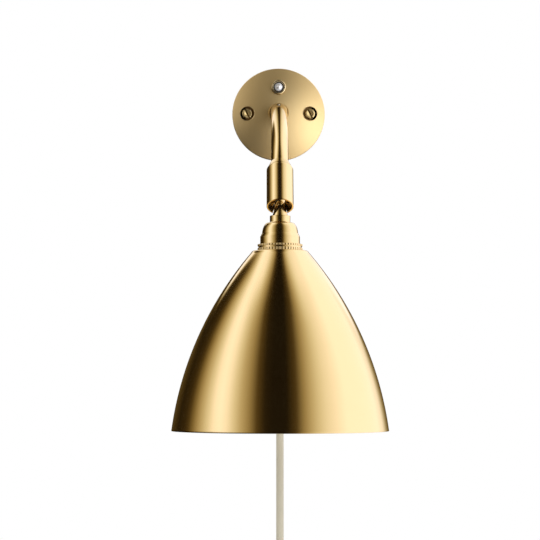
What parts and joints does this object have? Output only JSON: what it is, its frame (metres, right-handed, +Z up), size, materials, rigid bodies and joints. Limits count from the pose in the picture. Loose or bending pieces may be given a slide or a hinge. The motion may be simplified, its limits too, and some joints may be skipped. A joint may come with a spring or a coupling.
{
  "type": "hanging pendant wall sconce",
  "caption": "Brass wall lamp: round domed plate with push switch, curved tube arm, slotted ball joint and a hanging bell shade, with a cord to a flat plug.",
  "frame": {"origin": "centre of the wall plate's back, on the wall", "axes": "+Z up, -Y out from the wall into the room, +X to the right seen from the room"},
  "size_m": [0.1797, 0.2191, 0.549],
  "materials": {
    "plate_brass": "satin brushed",
    "arm_brass": "polished",
    "joint_brass": "polished",
    "cap_brass": "polished",
    "ring_brass": "knurled",
    "shade_brass": "spun satin",
    "screw_brass": "polished",
    "bezel_brass": "polished",
    "button_chrome": "polished",
    "raw_brass": "turned",
    "steel": "plated",
    "switch_black": "moulded",
    "cup_plastic": "moulded",
    "block_plastic": "moulded",
    "ceramic": "unglazed",
    "bulb_glass": "opal",
    "bulb_metal": "pressed",
    "bulb_contact": "soldered",
    "lead_cover": "extruded",
    "bush_rubber": "moulded",
    "cord_textile": "woven",
    "tie_textile": "woven",
    "plug_plastic": "moulded",
    "pin_nickel": "plated"
  },
  "bodies": {
    "fixture": {"wall_plate": "plate_brass", "fixing_screws": "screw_brass", "mounting_strap": "steel", "arm_socket": "raw_brass", "arm_grub_screw": "steel", "terminal_block": "block_plastic", "terminal_screws": "raw_brass", "switch_body": "switch_black", "switch_bezel": "bezel_brass", "switch_spring": "steel", "switch_leads": "lead_cover", "arm_tube": "arm_brass", "arm_leads": "lead_cover", "joint_sleeve": "joint_brass", "ball_cup": "cup_plastic", "ball_retainer": "raw_brass", "ball_spring": "steel", "cord_bush": "bush_rubber", "supply_leads": "lead_cover", "supply_cord": "cord_textile", "cord_coil": "cord_textile", "cord_tail": "cord_textile", "coil_tie": "tie_textile", "plug_relief": "bush_rubber", "plug_body": "plug_plastic", "plug_pins": "pin_nickel"},
    "button": {"switch_button": "button_chrome"},
    "stem": {"ball_stem": "joint_brass", "stem_nut": "raw_brass"},
    "head": {"holder_cap": "cap_brass", "shade_ring_upper": "ring_brass", "shade_ring_lower": "ring_brass", "shade": "shade_brass", "holder_body": "raw_brass", "holder_insert": "ceramic", "screw_shell": "raw_brass", "centre_contact": "raw_brass", "holder_terminals": "raw_brass", "head_leads": "lead_cover", "bulb_glass": "bulb_glass", "bulb_base": "bulb_metal", "bulb_tip": "bulb_contact"}
  },
  "joints": [
    {"name": "shade_tilt", "type": "hinge", "parent": "fixture", "child": "stem", "pos_m": [0, -0.1199, -0.07915], "axis": [-1, 0, 0], "range_deg": [-8, 45]},
    {"name": "shade_spin", "type": "hinge", "parent": "stem", "child": "head", "pos_m": [0, -0.1199, -0.07915], "axis": [0, 0, 1], "range_deg": [-170, 170]},
    {"name": "switch_press", "type": "slide", "parent": "fixture", "child": "button", "axis": [0, 1, 0], "range_m": [0, 0.002], "stiffness_N_per_m": 500, "springref_m": -0.001, "deforming": ["switch_spring"]}
  ]
}
